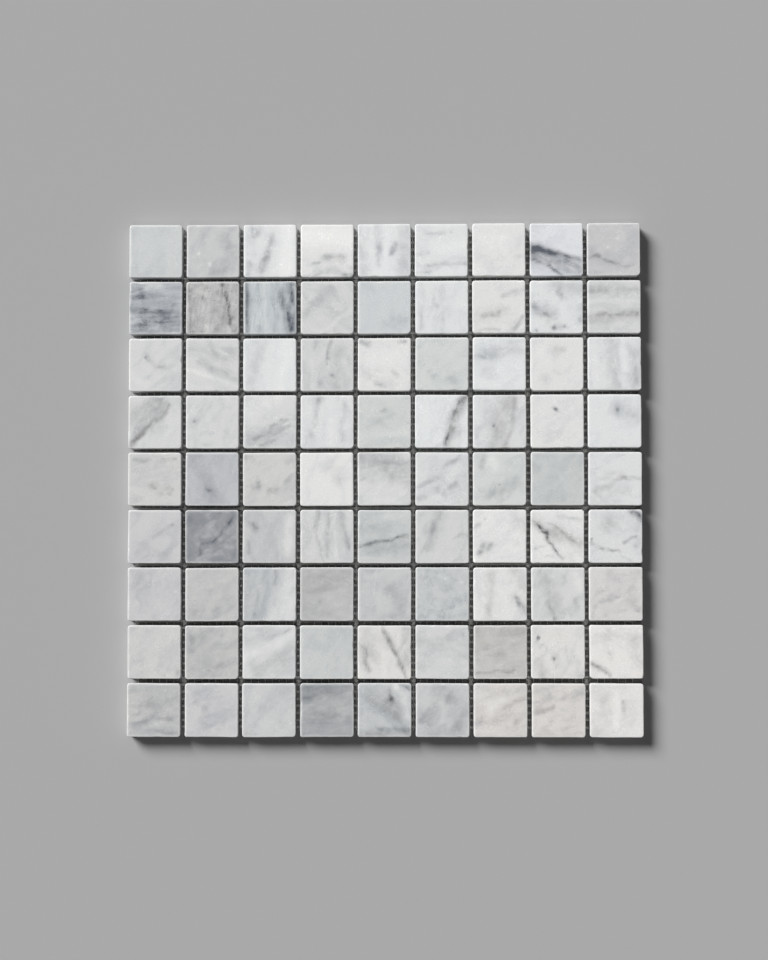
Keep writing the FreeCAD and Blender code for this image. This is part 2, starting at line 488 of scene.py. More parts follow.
        "soft", 68, cloud((50, -2), (38, 35), (22, 75), wide=0.9, strong=1.6),
        smudge((32, 28), (35, 38), strong=0.6), streak((46, 5), (34, 40), wide=1.4, strong=0.4),
        streak((70, 56), (83, 48), (98, 48), wide=1.1, strong=0.9),
        glow((65, 20), (60, 50), wide=1.6, strong=0.4), cloud((80, 85), strong=0.5),
    ),
    tile(
        "white", 40, spot((23, 19), wide=0.9, strong=0.8), smudge((3, 34), (14, 26), strong=1.2),
        smudge((12, 80), (20, 68), wide=0.9, strong=2.4), smudge((28, 74), (33, 68), wide=0.8, strong=1.8),
        cloud((15, 72), (35, 68)), cloud((78, 12), (100, 25), strong=1.5),
        smudge((82, 60), strong=0.8, warm=0.7), cloud((85, 35), strong=0.5),
    ),
    tile(
        "white", 130,
        vein(
            (-2, 16), (8, 22), (18, 32), (32, 42), (30, 57), (40, 64), (48, 75), (60, 98),
            wide=1.3, strong=0.85, warm=0.4,
        ),
        vein((26, 20), (52, 34), (70, 48), (98, 54), wide=0.9, strong=0.26, warm=0.4),
        streak((-2, 20), (20, 33), wide=1.4, strong=0.7, warm=0.3),
        streak((31, 42), (33, 60), wide=1.5, strong=1.1, warm=0.3),
        streak((40, 64), (58, 92), wide=1.3, strong=0.9, warm=0.3),
        smudge((65, 55), (92, 66), strong=0.8, warm=0.7), streak((55, 36), (75, 46), strong=0.3, warm=0.4),
        cloud((45, 42), (90, 60), strong=2.5, warm=0.7), cloud((5, 20), (40, 50), strong=1.6, warm=0.4),
        streak((30, 88), (42, 88), strong=0.9), streak((6, 72), (22, 68), strong=0.9),
        cloud((75, 85), strong=1.2), streak((50, 12), (95, 20), strong=0.6),
    ),
    tile(
        "pale", 155, streak((78, 0), (102, 20), wide=2, strong=3.2), cloud((35, 25), strong=2, warm=0.8),
        spot((5, 57), wide=0.9, strong=1.2),
        streak((2, 64), (30, 73), (55, 77), wide=1.1, strong=1.8, warm=0.2),
        streak((50, 76), (80, 95), wide=1.2, strong=0.8), streak((64, 60), (80, 50), (88, 50), strong=1.5),
        smudge((88, 68), strong=0.9), cloud((60, 30), (90, 40), strong=0.9),
    ),
    # Row 7
    tile("lilac", 60, cloud((20, 40), (30, 20), strong=1.2), glow((62, 70), wide=2.8, strong=0.5)),
    tile(
        "dove", 30, smudge((12, 80), (20, 84), strong=1.1), smudge((52, 82), (60, 78), strong=1.1),
        glow((72, 25), wide=0.8, strong=0.7), glow((20, 10), (30, 40), wide=2.4, strong=0.2),
    ),
    tile(
        "ash", 70, glow((112, -10), (68, 110), wide=6.8), cloud((50, 0), (36, 95), wide=0.4, strong=0.9),
        streak((44, 10), (20, 90), wide=1.6, strong=0.8), cloud((5, 10), (3, 90), strong=1.3),
        streak((64, 4), (60, 28), wide=1.3, strong=1.4), streak((95, 5), (90, 50), strong=0.6),
    ),
    tile(
        "dove", 6, cloud((-2, 20), (85, 14), wide=1.3, warm=0.8),
        cloud((4, 46), (45, 42), wide=0.4, strong=1.6, warm=0.9),
        streak((50, 38), (95, 34), strong=0.6, warm=0.8), spot((38, 65), wide=0.8, strong=0.8),
        cloud((10, 72), (50, 82), strong=0.5), glow((60, 60), (95, 85), wide=4.2, strong=0.35),
    ),
    tile(
        "grey", 40, glow((30, 30), (30, 50), wide=0.7, strong=0.7), cloud((60, 40), (80, 70), strong=1.9),
        cloud((20, 90), (90, 90)),
    ),
    tile(
        "frost", 70, spot((73, 75), wide=0.8), glow((35, 45), (60, 60), wide=2, strong=0.3),
        glow((56, 24), wide=0.7, strong=1.2), glow((30, 72), wide=0.6, strong=1.2),
        glow((86, 30), wide=0.6, strong=1.2), glow((50, 86), wide=0.5, strong=1.2),
        glow((70, 52), wide=0.5, strong=1.1),
    ),
    tile(
        "white", 88, cloud((34, 15), (30, 90), wide=0.7, strong=1.7, warm=0.8),
        cloud((76, -5), (92, 40), wide=0.8, strong=2.2, warm=0.3),
        smudge((77, 55), (84, 63), wide=1.3, strong=1.9), spot((79, 58), wide=1.4, strong=0.7),
        streak((84, 64), (100, 88), wide=1.4, strong=(1.2, 0.5)), cloud((97, 75), strong=1.6),
        smudge((28, 70), (30, 85), strong=0.8),
    ),
    tile(
        "soft", 60, cloud((30, 35), (50, 70), wide=1.1, strong=1.6, warm=0.6),
        streak((28, 64), (40, 80), (45, 102), wide=1.4, strong=(0.7, 1.7), warm=0.4),
        smudge((18, 10), (30, 20), warm=0.3), smudge((60, 18), (62, 30), strong=0.9, warm=0.5),
        smudge((80, 58), (86, 74), warm=0.5), glow((85, 12), (90, 42), wide=2, strong=0.8),
        glow((15, 80), wide=1.6, strong=0.5),
    ),
    tile(
        "blush", 20, streak((22, 62), (65, 52), (87, 30), wide=1.6, strong=0.6),
        smudge((84, 68), (92, 80), strong=1.2), smudge((8, 86), (10, 74)),
        cloud((30, 12), (70, 20), strong=0.2), cloud((75, 50), (85, 80), strong=0.5, warm=0.4),
        glow((50, 62), (70, 50), wide=1.2, strong=0.8),
    ),
    # Row 8
    tile(
        "sand", 50, smudge((93, 88), strong=1.6), cloud((30, 70), (60, 80), strong=0.4),
        glow((30, 20), (50, 40), wide=2.4, strong=0.2),
    ),
    tile(
        "dove", 40, smudge((12, 28), (13, 50), strong=1.4), smudge((28, 15), (34, 25), strong=0.7),
        smudge((50, 78), (80, 74), strong=0.8), glow((60, 25), (80, 30), wide=1.8, strong=0.6),
        glow((90, 50), wide=1.8, strong=0.3),
    ),
    tile(
        "soft", 30, glow((0, 56), (45, 42), (102, 12), wide=2.8, strong=0.8),
        streak((48, 24), (88, 8), wide=1.4, strong=0.8), cloud((30, 80), (95, 55), wide=1.3, strong=1.6),
        cloud((10, 25), (40, 15), strong=0.3), glow((5, 75), (10, 95), wide=2, strong=0.6),
    ),
    tile(
        "cool", 60, spot((67, 80), wide=0.7, strong=0.8), spot((50, 92), wide=0.6, strong=0.6),
        cloud((30, 20), (80, 15), strong=0.5),
    ),
    tile(
        "cream", 78,
        streak((48, -2), (55, 15), (63, 34), (68, 50), (76, 72), (90, 100), wide=1.2, strong=1.8, warm=0.35),
        streak((10, 42), (13, 62), (20, 82), wide=1.2, strong=(1.4, 2.2), warm=0.3),
        glow((46, 35), (50, 95), wide=1.3, strong=0.55), cloud((62, 25), (78, 75), wide=0.6, strong=1.5),
        cloud((90, 10), (95, 70), strong=1.8), cloud((5, 40), (30, 60), strong=1.6),
        cloud((10, 10), (40, 30), strong=0.7, warm=0.8),
    ),
    tile(
        "soft", 8, cloud((5, 26), (60, 24), strong=1.2), smudge((85, 18), strong=0.7),
        cloud((90, 55), (80, 80), strong=0.7),
    ),
    tile(
        "taupe", 8, streak((3, 89), (40, 87), (74, 86), wide=0.8, strong=1.9, warm=0.4),
        smudge((16, 38), (24, 40), strong=1.2, warm=0.5), cloud((10, 12), (90, 10), strong=0.9, warm=0.5),
        glow((30, 30), (60, 28), wide=0.8, strong=0.4), smudge((45, 55), (60, 52), strong=0.5),
    ),
    tile(
        "cream", 60, spot((13, 24), wide=1.3, strong=1.5), smudge((10, 28), (15, 38), strong=1.3),
        spot((45, 65), wide=1.3, strong=1.2), smudge((44, 58), (47, 72), wide=1.1, strong=1.7),
        cloud((12, 72), (26, 98), strong=2.2), cloud((92, 92), strong=1.5),
        cloud((50, 12), wide=0.6, strong=0.9),
    ),
    tile(
        "ivory", 145, streak((0, 72), (18, 78), (37, 92), wide=1.1, strong=1.6, warm=0.4),
        cloud((5, 76), (30, 86), wide=0.6, strong=1.4), smudge((38, 52), (42, 58), strong=0.9, warm=0.8),
        cloud((30, 60), strong=0.8, warm=0.9), cloud((35, 20), strong=1.5),
        cloud((85, 30), (90, 70), strong=1.6),
    ),
    # Row 9
    tile(
        "dove", 12, smudge((15, 74), (34, 70), strong=1.3), cloud((20, 35), (80, 45), wide=2.4, strong=0.9),
        streak((40, 88), (92, 92), wide=1.3, strong=0.8), glow((35, 80), (65, 72), wide=1.3, strong=0.6),
        streak((45, 64), (85, 66), strong=0.8), smudge((25, 45), (45, 40)),
        streak((10, 60), (30, 56), strong=0.8),
    ),
    tile(
        "lilac", 30, smudge((20, 35), (38, 46)), cloud((30, 85), strong=0.5),
        cloud((50, 20), (50, 80), wide=2.6, strong=0.8),
    ),
    tile(
        "grey", 60, cloud((4, 98), strong=1.1, warm=0.9), spot((22, 95), wide=0.6, strong=0.5, warm=0.8),
        glow((60, 25), wide=2.2, strong=0.3),
    ),
    tile(
        "dusk", 8, cloud((0, 14), (80, 12), strong=2.3), smudge((2, 28), (35, 26), strong=0.8),
        streak((30, 55), (90, 60), strong=0.6), cloud((30, 72), (50, 60), strong=2),
        glow((50, 85), (95, 80), wide=2.2, strong=0.3),
    ),
    tile(
        "ash", 150, smudge((57, 18), (64, 36), wide=1.2, strong=2.2, warm=0.5),
        spot((61, 30), wide=1.3, strong=0.9), cloud((25, 30), (70, 50), wide=1.5, strong=1.8, warm=0.4),
        smudge((30, 44), (46, 50)), cloud((50, 40), (74, 64), (95, 86), wide=0.7, strong=1.6, warm=0.4),
        cloud((-5, 95), (50, 96), wide=0.7, strong=3, warm=0.4),
        streak((40, 84), (98, 88), wide=1.4, strong=1.3),
        cloud((45, 100), (100, 97), wide=0.7, strong=2.4, warm=0.4),
        glow((84, 20), (95, 60), wide=2.2, strong=0.9), glow((70, 6), wide=1.6),
        streak((78, 0), (102, 12), wide=1.4, strong=1.5), glow((6, 45), (50, 70), wide=1.2, strong=0.4),
    ),
    tile(
        "grey", 50, cloud((45, 20), (65, 30), strong=2.6), cloud((15, 60), (35, 50), strong=1.9),
        smudge((12, 72), (20, 76), strong=0.9), glow((20, 15), wide=1.6, strong=0.5),
        cloud((80, 80), (90, 50), strong=2), cloud((30, 95), (70, 85), strong=1.6),
    ),
    tile(
        "rose", 25, cloud((50, 46), (76, 34), (105, 28), wide=0.4, strong=1.7, warm=0.9),
        cloud((20, 75), (85, 62), strong=0.5, warm=0.9), smudge((3, 73), (14, 68), strong=0.9),
        smudge((78, 70), strong=1.3), glow((30, 50), (55, 30), wide=2.2, strong=0.9),
        glow((12, 25), wide=3.6, strong=0.8), glow((20, 90), (60, 95), wide=1.6, strong=0.4),
    ),
    tile(
        "rose", 20, smudge((8, 56), (30, 50), (42, 42), wide=0.8, strong=1.5, warm=0.6),
        cloud((8, 42), (50, 22), (95, 20), strong=1.1), cloud((40, 92), (80, 75), strong=0.9, warm=0.6),
        glow((48, 50), (66, 60), wide=1.2, strong=0.6), glow((15, 80), strong=0.5),
    ),
    tile(
        "ivory", 20, cloud((28, 35), (28, 60), strong=1.7), streak((63, 35), (64, 55), wide=1.3, strong=0.9),
        cloud((10, 90)), glow((50, 20), (48, 80), wide=1.4, strong=0.9),
    ),
)

# Corners that were knocked or ground rounder than the rest, by row and column: the radius in mm
WORN_CORNERS = {
    (1, 4): {"lower right": 2.2},
    (1, 5): {"lower right": 2.3},
    (1, 9): {"lower right": 2.7},
    (2, 4): {"lower right": 2.1},
    (2, 5): {"lower right": 2.9},
    (3, 8): {"lower left": 2.8, "lower right": 2.8},
    (4, 4): {"lower right": 2.1},
    (5, 7): {"lower right": 2.1},
    (7, 2): {"lower right": 2.2},
    (8, 2): {"lower right": 2.2},
    (8, 9): {"lower left": 2.3},
}
# The order in which an outline is walked, from the middle of the lower right corner
CORNERS = ("lower right", "upper right", "upper left", "lower left")

STRAIGHT_STEPS = 22  # mesh steps along one straight edge of a tile
ARC_STEPS = 3  # mesh steps in half a corner
SIDE_STEPS = STRAIGHT_STEPS + 2 * ARC_STEPS
GRID_CORNER = 1.5  # radius of the corners that the grid lines of a face are spaced for
EDGE_BAND = 1.7  # from the tile's side to the first grid line of its face

# Rings of mesh places that go over the arris: how far round it each is, in degrees, and how rubbed, which
# whitens it partly as bruising and partly as a painted highlight
ARRIS_RINGS = ((0, 0.45), (20, 0.9), (42, 1.0), (66, 1.0), (90, 0.5))
# Rings down the sides, which hold the waves of the saw: how deep below the face each is
SAWN_RINGS = (2.6, 5.0, 7.4, STONE_DEPTH - 0.25)
BACK_INSET = 0.3  # how far the edge of the back is worn in

BED_SPREAD = 400  # how far to either side of the middle of the bed a tile may be cut
BED_FOLDS = ((10, 1.3), (3.5, 0.45))  # the folds of the bed: how large they are and how far they push a mark

# What the stone's nodes read from the mesh of a tile
STONE_LAYERS = (
    "stone_place",
    "grain_place",
    "stone_colour",
    "stone_amounts",
    "soft_marks",
    "mark_warmth",
    "vein_1",
    "vein_2",
)
SOFT_CHANNELS = {"cloud": 0, "grey": 1, "white": 2, "spot": 3}
NO_VEIN = (9.0, 0.0, 0.4)  # as a vein's layer holds it: how far off, how strong and how wide
VEIN_REACH = 2.5  # a vein's line may wander this far off
VEIN_TAPER = 0.12  # the part of a vein's length over which each end fades in


def half_corner(radius):
    """Places round the upper half of a tile's lower right corner."""
    angles = np.radians(np.linspace(-45, 0, ARC_STEPS + 1))
    centre = HALF_SIDE - radius
    return np.column_stack((centre + radius * np.cos(angles), radius * np.sin(angles) - centre))


def side_of_outline(radius_before, radius_after):
    """Places along the right side of a tile, from the middle of one corner to the middle of the next."""
    before = half_corner(radius_before)
    after = half_corner(radius_after)[::-1] * (1, -1)
    heights = np.linspace(before[-1, 1], after[0, 1], STRAIGHT_STEPS + 1)[1:-1]
    straight = np.column_stack((np.full(len(heights), HALF_SIDE), heights))
    return np.vstack((before, straight, after))


def closed_outline(radii):
    """The four sides of a tile joined into one loop, walked anticlockwise."""
    sides = []
    for quarter in range(4):
        side = side_of_outline(radii[quarter], radii[(quarter + 1) % 4])[:-1]
        sides.append(turned(side, np.radians(90 * quarter)))
    return np.vstack(sides)


def face_grid():
    """The flat honed face as a grid of places, its rim in walking order, and its faces.

    The lines of the grid end on the outline's steps."""
    rim_side = side_of_outline(GRID_CORNER, GRID_CORNER)[:, 1]
    lines = rim_side * (HALF_SIDE - EDGE_BAND) / rim_side[-1]
    across, up = np.meshgrid(lines, lines)
    places = np.column_stack((across.ravel(), up.ravel()))
    count = SIDE_STEPS + 1
    number = np.arange(count * count).reshape(count, count)
    rim = np.concatenate((number[:-1, -1], number[-1, :0:-1], number[:0:-1, 0], number[0, :-1]))
    corners = (number[:-1, :-1], number[:-1, 1:], number[1:, 1:], number[1:, :-1])
    return places, rim, np.column_stack([corner.ravel() for corner in corners])


def tile_faces(rim, grid_faces):
    """A whole tile: its face, rings of faces that go over the arris and down the sides, and its back."""
    rings = len(ARRIS_RINGS) + len(SAWN_RINGS) + 1
    first = (SIDE_STEPS + 1) ** 2
    loops = [rim, *(first + np.arange(rings * len(rim)).reshape(rings, len(rim)))]
    faces = grid_faces.tolist()
    for inner, outer in zip(loops, loops[1:]):
        faces += band(inner, outer)
    return [*faces, loops[-1][::-1].tolist()]


def uneven(hand, steps, waves):
    """A closed line round a tile, between 0 and 1, of random waves that go round so many times each."""
    turn = np.linspace(0, 2 * np.pi, steps, endpoint=False)
    total = 0
    for wave in waves:
        total = total + np.sin(wave * turn + hand.uniform(0, 6.28)) * hand.uniform(0.4, 1) / wave**0.5
    return (total - total.min()) / (total.max() - total.min())


def worn_arris(hand, settings, steps):
    """How far the arris reaches in over the face and down the side, at each step round a tile."""
    width = settings.arris_width / MM * (0.75 + 0.5 * uneven(hand, steps, (1, 2, 4, 7, 15, 23)))
    drop = settings.arris_drop / MM * (0.8 + 0.4 * uneven(hand, steps, (1, 3, 6, 17)))
    walk = np.arange(steps)
    for _ in range(hand.poisson(settings.chips)):
        # A chip is a bite out of the arris, about a step of the mesh to either side of its middle
        reach = hand.uniform(0.6, 1.3)
        away = np.abs((walk - hand.integers(steps) + steps / 2) % steps - steps / 2)
        bite = np.exp(-((away / reach) ** 2)) * hand.uniform(0.3, 0.9)
        width = width + bite * 0.7
        drop = drop + bite
    return np.minimum(width, EDGE_BAND - 0.15), drop


def tile_places(hand, settings, radii):
    """Every place of one tile about its own centre, with its face at height 0, and how bruised it is there,
    which also sets its painted highlight.
    """
    grid, rim, _ = face_grid()
    outline = closed_outline(radii)
    steps = len(outline)
    side_wander = settings.edge_wander / MM * uneven(hand, steps, (2, 3, 5, 9, 14, 22, 31))
    width, drop = worn_arris(hand, settings, steps)
    rings = []
    for degrees, bruise_highlight in ARRIS_RINGS:
        turn = np.radians(degrees)
        rings.append((width * (1 - np.sin(turn)), -drop * (1 - np.cos(turn)), bruise_highlight))
    rings += [(settings.saw_wave / MM * hand.random(steps), -depth, 0) for depth in SAWN_RINGS]
    rings.append((BACK_INSET, -STONE_DEPTH, 0))

    places = [np.column_stack((grid, np.zeros(len(grid))))]
    all_bruise_highlight = [np.zeros(len(grid))]
    for inset, height, bruise_highlight in rings:
        share = ((side_wander + inset) / EDGE_BAND)[:, None]
        flat = outline + (grid[rim] - outline) * np.minimum(share, 1)
        places.append(np.column_stack((flat, np.broadcast_to(height, steps))))
        all_bruise_highlight.append(np.full(steps, bruise_highlight))
    return np.vstack(places), np.concatenate(all_bruise_highlight)


def along_line(places, points):
    """How far each place is from a line of points, positive on its left, and how far along it that is."""
    corners = [np.array(((x / 100 - 0.5) * TILE_SIDE, (0.5 - y / 100) * TILE_SIDE)) for x, y in points]
    if len(corners) == 1:
        return np.hypot(*(places - corners[0]).T), np.full(len(places), 0.5)
    nearest = np.full(len(places), np.inf)
    signed = np.zeros(len(places))
    along = np.zeros(len(places))
    lengths = [np.linalg.norm(b - a) for a, b in zip(corners, corners[1:])]
    walked = 0
    for start, end, length in zip(corners, corners[1:], lengths):
        step = end - start
        part = np.clip((places - start) @ step / length**2, 0, 1)
        gap = places - start - part[:, None] * step
        distance = np.hypot(*gap.T)
        closer = distance < nearest
        nearest[closer] = distance[closer]
        side = np.where(step[0] * gap[:, 1] - step[1] * gap[:, 0] < 0, -1, 1)
        signed[closer] = (distance * side)[closer]
        along[closer] = ((walked + part * length) / sum(lengths))[closer]
        walked += length
    return signed, along


def folded(places, bed):
    """A tile's places pushed about as the bed was folded, so that marks drawn on them aren't straight."""
    pushes = []
    for place in places + bed:
        push = Vector()
        for size, reach in BED_FOLDS:
            push += noise.noise_vector(Vector(place) / size) * reach
        pushes.append(push)
    return places + np.array(pushes)


def mark_layers(places, marks):
    """What one tile's marks give each place: clouds, grey, white and spots, their warmth, and two veins."""
    flat = places[:, :2]
    soft = np.zeros((len(flat), 4))
    warm_total = np.zeros(len(flat))
    dark_total = np.full(len(flat), 1e-3)
    veins = [np.tile(NO_VEIN, (len(flat), 1)) for _ in range(2)]
    free_veins = iter(veins)
    for mark in marks:
        signed, along = along_line(flat, mark.points)
        half_width = np.interp(along, (0, 1), mark.half_widths)
        strength = np.interp(along, (0, 1), mark.strengths)
        if mark.layer == "vein":
            fade = np.exp(-((signed / VEIN_REACH) ** 4))
            ends = np.clip(np.minimum(along, 1 - along) / VEIN_TAPER, 0, 1)
            next(free_veins)[:] = np.column_stack((signed, strength * ends * fade, half_width))
        else:
            fade = np.exp(-((signed / half_width) ** 2))
            soft[:, SOFT_CHANNELS[mark.layer]] += strength * fade
        if mark.layer != "white":
            dark_total += strength * fade
            warm_total += strength * fade * mark.warmth
    return soft, warm_total / dark_total, veins


def cad_tiles(row):
    """Where the frame holds a row's tiles, left to right: each one's middle in mm and its small turn."""
    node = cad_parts[f"tile_row_{row}"]
    places = np.empty(len(node.data.vertices) * 3)
    node.data.vertices.foreach_get("co", places)
    flat = places.reshape(-1, 3)[:, :2] / MM
    column = np.round(flat[:, 0] / TILE_PITCH + (COLUMNS - 1) / 2).astype(int)
    laid = []
    for number in range(COLUMNS):
        mine = flat[column == number]
        middle = (mine.min(axis=0) + mine.max(axis=0)) / 2
        spokes = mine - middle
        # A square's corners, as complex numbers to the fourth power, all point the same way
        turn = np.angle(-np.sum((spokes[:, 0] + 1j * spokes[:, 1]) ** 4)) / 4
        laid.append((middle, turn))
    return laid


def dressed_tile(hand, settings, stone, lean, marks, worn):
    """One tile about its own centre: its places, and what the stone's nodes read at each of them."""
    radii = [worn.get(corner, settings.corner_radius / MM * hand.uniform(0.8, 1.25)) for corner in CORNERS]
    places, bruise_highlight = tile_places(hand, settings, radii)
    bed = hand.uniform(-BED_SPREAD, BED_SPREAD, 3)
    tone = np.array(linear(stone.colour)) * hand.uniform(0.97, 1.03)
    with_grain = turned(places[:, :2], -np.radians(lean)) * (stone.draw, 1)
    soft, warmth, veins = mark_layers(folded(places, bed), marks)
    for_all = (len(places), 1)
    layers = (
        places + bed,
        np.column_stack((with_grain, places[:, 2])) + bed,
        # The stone's colour, with the arris's bruising and painted highlight as its fourth number
        np.column_stack((np.tile(tone, for_all), bruise_highlight)),
        np.tile((stone.patches, stone.streaks, stone.mottle, stone.wisps), for_all),
        soft,
        warmth[:, None],
        *veins,
    )
    return places, dict(zip(STONE_LAYERS, layers))


def set_layer(mesh, name, values):
    """Stores one, three or four numbers per mesh point under a name that the stone's nodes read."""
    kinds = {1: ("FLOAT", "value"), 3: ("FLOAT_VECTOR", "vector"), 4: ("FLOAT_COLOR", "color")}
    kind, field = kinds[values.shape[1]]
    layer = mesh.attributes.new(name, kind, "POINT")
    layer.data.foreach_set(field, values.astype(np.float32).ravel())


# The patterns of the marble: the layer that each is drawn on, its size in mm, and how detailed, rough and
# distorted it is. The bed has bands a centimetre across, and was folded and drawn out into streaks. The
# mottle is cloudy crystals. Single crystals are a few tenths of a millimetre across, and are drawn 0.9 mm
# across so that they show.
STONE_PATTERNS = {
    "bed": ("grain_place", 11, 3, 0.45, 1.0),
    "streaks": ("grain_place", 4.2, 4, 0.52, 0.8),
    "mottle": ("stone_place", 5, 4, 0.52, 0.6),
    "wander": ("stone_place", 6, 3, 0.5, 0),
    "jag": ("stone_place", 1.9, 2, 0.6, 0),
    "crystals": ("stone_place", 0.9, 2, 0.7, 0),
}


def stone_nodes(add, settings):
    """The colour of the marble at a point, then its mottle and its crystals.

    Calcite grown in a mud-streaked bed: soft bands, drawn-out streaks, a mottle, and veins, which wander
    and break up along their length. Whatever darkens the stone is added up, and the sum mixes in silt."""
    stored = {name: add("Attribute", attribute_name=name) for name in STONE_LAYERS}
    alphas = [stored[name].outputs["Alpha"] for name in ("stone_colour", "stone_amounts", "soft_marks")]
    bruise_highlight, wisp_amount, spots = alphas
    patch_amount, streak_amount, mottle_amount = add("SeparateColor", {0: stored["stone_amounts"]}).outputs
    clouds, greys, whites = add("SeparateColor", {0: stored["soft_marks"]}).outputs

    patterns = {}
    for name, (layer, size, detail, roughness, distortion) in STONE_PATTERNS.items():
        sockets = {"Vector": stored[layer].outputs["Vector"], "Scale": 1 / size}
        sockets.update({"Detail": detail, "Roughness": roughness, "Distortion": distortion})
        patterns[name] = add("TexNoise", sockets)
    bed, streaks, mottle, wander, jag, crystals = patterns.values()
    limits = {"From Min": 0.34, "From Max": 0.66}
    patches = add("MapRange", {"Value": bed, **limits}, interpolation_type="SMOOTHSTEP")

    darks = []
    for pattern, amount in ((patches, patch_amount), (streaks, streak_amount), (mottle, mottle_amount)):
        centred = add("Math", {0: pattern, 1: 0.5}, operation="SUBTRACT")
        darks.append(add("Math", {0: centred, 1: amount}, operation="MULTIPLY"))

    # Wisps are hair-thin veins where the streaks pass through their middle value, in cloudy places only
    ridge = add("Math", {0: streaks, 1: 0.5}, operation="SUBTRACT")
    ridge = add("Math", {0: ridge}, operation="ABSOLUTE")
    ridge = add("MapRange", {"Value": ridge, "From Min": 0.028, "From Max": 0.0})
    cloudy = add("MapRange", {"Value": wander, "From Min": 0.5, "From Max": 0.62})
    wisps = add("Math", {0: ridge, 1: cloudy}, operation="MULTIPLY")
    darks.append(add("Math", {0: wisps, 1: wisp_amount}, operation="MULTIPLY"))

    # Dark specks of silt between the crystals, only in stone with a strong mottle
    speck_amount = add("Math", {0: mottle_amount, 1: 0.4}, operation="SUBTRACT", use_clamp=True)
    specks = add("MapRange", {"Value": crystals, "From Min": 0.56, "From Max": 0.7})
    darks.append(add("Math", {0: specks, 1: speck_amount}, operation="MULTIPLY"))

    # Marks fray: they show where streaks and mottle are dense. Clouds do so a little, and veins the most.
    dense = add("Math", {0: streaks, 1: mottle}, operation="ADD")
    frays = []
    for least, most in ((0.85, 1.15), (0.6, 1.4), (0.4, 1.45)):
        limits = {"From Min": 0.8, "From Max": 1.2, "To Min": least, "To Max": most}
        frays.append(add("MapRange", {"Value": dense, **limits}))
    cloud_fray, grey_fray, vein_fray = frays
    for layer, fray in ((clouds, cloud_fray), (greys, grey_fray)):
        darks.append(add("Math", {0: layer, 1: fray}, operation="MULTIPLY"))

    # White marks and spots have a ragged rim that follows the mottle
    ragged = add("Math", {0: mottle, 1: 0.5}, operation="SUBTRACT")
    islands = []
    for layer in (whites, spots):
        rim = add("Math", {0: layer, 1: ragged}, operation="ADD")
        limits = {"From Min": 0.0, "From Max": 0.6}
        inside = add("MapRange", {"Value": rim, **limits}, interpolation_type="SMOOTHSTEP")
        islands.append(add("Math", {0: inside, 1: layer}, operation="MULTIPLY"))
    clear, dark_spots = islands
    darks.append(dark_spots)

    # A vein wanders off its line by a millimetre or two over centimetres, and is ragged at 2 mm. Its core
    # is dark, with a fainter halo.
    drift = add("Math", {0: wander, 1: 3.4, 2: -2.6}, operation="MULTIPLY_ADD")
    drift = add("Math", {0: jag, 1: 1.8, 2: drift}, operation="MULTIPLY_ADD")
    for name in ("vein_1", "vein_2"):
        off_line, strength, half_width = add("SeparateColor", {0: stored[name]}).outputs
        off_line = add("Math", {0: off_line, 1: drift}, operation="ADD")
        off_line = add("Math", {0: off_line}, operation="ABSOLUTE")
        ratio = add("Math", {0: off_line, 1: half_width}, operation="DIVIDE")
        shades = []
        for reach, depth in ((2.2, 1.0), (6.0, 0.4)):
            limits = {"From Min": reach, "From Max": 0.0, "To Max": depth}
            shades.append(add("MapRange", {"Value": ratio, **limits}, interpolation_type="SMOOTHSTEP"))
        line = add("Math", dict(enumerate(shades)), operation="ADD")
        for share in (strength, vein_fray):
            line = add("Math", {0: line, 1: share}, operation="MULTIPLY")
        darks.append(line)

    total = darks[0]
    for dark in darks[1:]:
        total = add("Math", {0: total, 1: dark}, operation="ADD")
    total = add("Math", {0: total, 1: clear}, operation="SUBTRACT")

    # What the silt leaves of the stone's own colour. Below nothing, the sum clears the stone instead.
    ends = {FIRST: (*settings.slate_vein, 1), SECOND: (*settings.brown_vein, 1)}
    silt = add("Mix", {SHARE: stored["mark_warmth"].outputs["Fac"], **ends}, data_type="RGBA")
    silted = add("Clamp", {"Value": total, "Min": 0.0, "Max": 0.96})
    colour = add("Mix", {SHARE: silted, FIRST: stored["stone_colour"], SECOND: silt}, data_type="RGBA")
    cleared = add("Math", {0: total, 1: -1.0}, operation="MULTIPLY", use_clamp=True)
    # The arris is a little whiter: partly crystals bruised by rubbing, partly a painted highlight along the
    # rim
    bruise_highlight_share = add("Math", {0: bruise_highlight, 1: mottle}, operation="MULTIPLY")
    for share in (cleared, bruise_highlight_share):
        sockets = {SHARE: share, FIRST: colour, SECOND: (*settings.clear_calcite, 1)}
        colour = add("Mix", sockets, data_type="RGBA")

    # A breath of rust in some places and of slate in others
    ends = {FIRST: (1.005, 1.0, 0.993, 1), SECOND: (0.995, 1.0, 1.005, 1)}
    tint = add("Mix", {SHARE: patches, **ends}, data_type="RGBA")
    # Each crystal takes the light a little differently
    limits = {"From Min": 0.3, "From Max": 0.7, "To Min": 0.955, "To Max": 1.045}
    glint = add("MapRange", {"Value": crystals, **limits})
    # In cloudy places some crystals are cleaved level with the face, and their glints are painted in as
    # brighter colour
    cleavage_glints = add("MapRange", {"Value": crystals, "From Min": 0.54, "From Max": 0.72})
    cleavage_glints = add("Math", {0: cleavage_glints, 1: cloudy}, operation="MULTIPLY")
    cleavage_glints = add("Math", {0: cleavage_glints, 1: 0.16, 2: 1.0}, operation="MULTIPLY_ADD")
    for share in (tint, glint, cleavage_glints):
        sockets = {SHARE: 1.0, FIRST: colour, SECOND: share}
        colour = add("Mix", sockets, data_type="RGBA", blend_type="MULTIPLY")
    return colour, mottle, crystals


